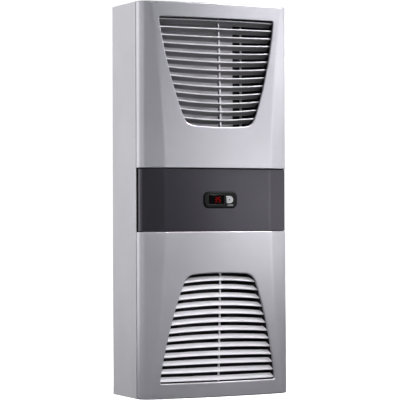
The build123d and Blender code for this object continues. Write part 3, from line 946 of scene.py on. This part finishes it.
def foam(name):
    """Closed-cell sealing foam."""
    m, nt, bsdf = material(name)
    co = coords(nt)
    v = nt.nodes.new("ShaderNodeTexVoronoi")
    v.inputs["Scale"].default_value = 900.0
    nt.links.new(co, v.inputs["Vector"])
    nt.links.new(ramp(nt, v.outputs["Distance"], [(0.0, (0.006, 0.006, 0.0065)), (0.7, (0.02, 0.02, 0.021))]), bsdf.inputs["Base Color"])
    bsdf.inputs["Roughness"].default_value = 0.9
    bump(nt, bsdf, [(v.outputs["Distance"], 0.4, 0.0006)])
    return m


seal_rubber = foam("seal_rubber")
display_glass = glass_pane()
display_red = lit_red()


def dress(ob, *mats):
    ob.data.materials.clear()
    for m in mats:
        ob.data.materials.append(m)


for ob, m in ((upper_cover, cover_paint), (lower_cover, cover_paint), (band, band_paint), (upper_slats, grille_plastic),
              (lower_slats, grille_plastic), (upper_frame, surround_shade_black), (lower_frame, surround_shade_black),
              (bezel, black_plastic), (bezel_shadow_ring, painted_shadow_black), (lip, lip_highlight_grey), (window, display_glass), (d_key, key_silver), (small_key, key_grey), (dot, dot_dark),
              (digits, display_red)):
    dress(ob, m)
    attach(ob, "root")

NODE_FINISH = {
    "back_panel": housing_paint, "left_side_panel": housing_paint, "right_side_panel": housing_paint,
    "top_panel": housing_paint, "bottom_panel": housing_paint, "front_frame_left": housing_paint,
    "front_frame_right": housing_paint, "front_frame_top": housing_paint, "front_frame_bottom": housing_paint,
    "centre_rail": zinc_sheet, "cover_seal": seal_rubber, "rear_gasket": seal_rubber, "upper_baffle_plate": baffle_sheet,
    # the partitions wear the fans' black as painted shade, keeping the inside dark behind the grilles
    "guide_bar": baffle_sheet, "upper_partition": fan_black, "lower_partition": fan_black, "exchanger_core": core_alu,
    "outer_fan_motor": fan_black, "outer_fan_impeller": fan_black, "inner_fan_motor": fan_black, "inner_fan_impeller": fan_black,
}
for name, m in NODE_FINISH.items():
    dress(nodes[name], m)

# ====================================================================== floor, light, camera
def build_floor():
    R, n = 6.0, 64
    me = bpy.data.meshes.new("floor")
    me.from_pydata([(R * math.cos(2 * math.pi * i / n), R * math.sin(2 * math.pi * i / n), -0.0005) for i in range(n)], [], [list(range(n))])
    ob = bpy.data.objects.new("floor", me)
    scene.collection.objects.link(ob)
    m, nt, bsdf = material("floor_pale")
    co = coords(nt)
    c = ramp(nt, noise(nt, co, 3.0, 2.0), [(0.3, (0.88, 0.88, 0.88)), (0.7, (0.92, 0.92, 0.92))])
    nt.links.new(c, bsdf.inputs["Base Color"])
    bsdf.inputs["Roughness"].default_value = 0.8
    bsdf.inputs["Emission Color"].default_value = (1, 1, 1, 1)
    bsdf.inputs["Emission Strength"].default_value = 0.9
    dress(ob, m)
    ob.visible_diffuse = False
    ob.visible_glossy = False
    return ob


floor = build_floor()


def softbox(name, at, aim, sx, sz, watts, colour=(1, 1, 1), spread=180):
    L = bpy.data.lights.new(name, "AREA")
    L.shape = "RECTANGLE"
    L.size, L.size_y = sx, sz
    L.energy = watts
    L.color = colour
    L.spread = math.radians(spread)
    ob = bpy.data.objects.new(name, L)
    ob.location = at
    d = Vector(aim) - Vector(at)
    ob.rotation_euler = d.to_track_quat("-Z", "Y").to_euler()
    ob.visible_camera = False
    scene.collection.objects.link(ob)
    return ob


def around(azimuth, reach, z):
    a = math.radians(azimuth)
    return (reach * math.sin(a), -reach * math.cos(a), z)


softbox("key_box", around(49, 1.8, 2.12), (0, 0, 0.78), 0.9, 0.6, 4.1, spread=40)
softbox("low_front_box", around(-8, 1.8, 1.10), (0, 0, -0.02), 0.5, 0.45, 1.35, spread=38)
softbox("right_low_panel", around(41, 2.5, 0.42), (0, 0, 0.5), 1.7, 0.36, 4.2)
softbox("right_panel", around(33, 2.5, 0.76), (0, 0, 0.5), 2.0, 0.45, 2.3)
softbox("right_wing_box", around(72, 2.2, 1.04), (0, 0, 0.5), 1.3, 0.6, 3.8)
softbox("right_low_box", around(70, 2.2, 0.42), (0, 0, 0.5), 1.4, 0.3, 2.1)
softbox("right_rear_box", around(122, 2.2, 0.7), (0, 0, 0.5), 1.4, 1.2, 12)
softbox("left_panel", around(-30, 2.4, 1.15), (0, 0, 0.7), 0.9, 0.7, 0.8)
softbox("left_front_wall", around(-68, 2.2, 0.90), (-0.1, 0, 0.55), 2.0, 1.8, 8.4)
softbox("left_wall", around(-126, 2.0, 1.05), (-0.1, 0, 0.58), 2.3, 2.2, 22)

world = bpy.data.worlds.new("studio")
scene.world = world
world.use_nodes = True
wt = world.node_tree
wt.nodes.clear()
w_out = wt.nodes.new("ShaderNodeOutputWorld")
w_mix = wt.nodes.new("ShaderNodeMixShader")
w_path = wt.nodes.new("ShaderNodeLightPath")
w_dim = wt.nodes.new("ShaderNodeBackground")
w_white = wt.nodes.new("ShaderNodeBackground")
w_dim.inputs["Color"].default_value = (0.9, 0.95, 1.0, 1)
w_white.inputs["Color"].default_value = (1, 1, 1, 1)
w_white.inputs["Strength"].default_value = 1.05
w_dir = wt.nodes.new("ShaderNodeTexCoord")
w_sep = wt.nodes.new("ShaderNodeSeparateXYZ")
w_rise = wt.nodes.new("ShaderNodeMapRange")
w_rise.inputs["From Min"].default_value, w_rise.inputs["From Max"].default_value = -0.30, 0.25
w_rise.inputs["To Min"].default_value, w_rise.inputs["To Max"].default_value = 0.06, 0.335
wt.links.new(w_dir.outputs["Generated"], w_sep.inputs["Vector"])
wt.links.new(w_sep.outputs["Z"], w_rise.inputs["Value"])
wt.links.new(w_rise.outputs["Result"], w_dim.inputs["Strength"])
wt.links.new(w_path.outputs["Is Camera Ray"], w_mix.inputs["Fac"])
wt.links.new(w_dim.outputs["Background"], w_mix.inputs[1])
wt.links.new(w_white.outputs["Background"], w_mix.inputs[2])
wt.links.new(w_mix.outputs["Shader"], w_out.inputs["Surface"])

scene.view_settings.view_transform = "Standard"
scene.view_settings.look = "None"
scene.view_settings.exposure = 0.0
scene.view_settings.gamma = 0.85

# camera at the viewing angle of the picture, 400 x 400
yaw, pitch, roll = -0.45184681, 0.00727189, 0.00297873
focal_px = 1873.39
cy_, sy_ = math.cos(yaw), math.sin(yaw)
cp_, sp_ = math.cos(pitch), math.sin(pitch)
cr_, sr_ = math.cos(roll), math.sin(roll)
R = (np.array([[cy_, -sy_, 0], [sy_, cy_, 0], [0, 0, 1]]) @ np.array([[1, 0, 0], [0, cp_, -sp_], [0, sp_, cp_]])
     @ np.array([[cr_, 0, sr_], [0, 1, 0], [-sr_, 0, cr_]]))
cam_data = bpy.data.cameras.new("camera")
cam_data.sensor_fit = "HORIZONTAL"
cam_data.sensor_width = 36.0
cam_data.lens = focal_px / 400.0 * 36.0
cam_data.clip_start, cam_data.clip_end = 0.05, 100.0
cam = bpy.data.objects.new("camera", cam_data)
cam.matrix_world = Matrix((
    (R[0, 0], R[0, 2], -R[0, 1], -2.015791),
    (R[1, 0], R[1, 2], -R[1, 1], -4.133853),
    (R[2, 0], R[2, 2], -R[2, 1], 0.442093),
    (0, 0, 0, 1)))
scene.collection.objects.link(cam)
scene.camera = cam
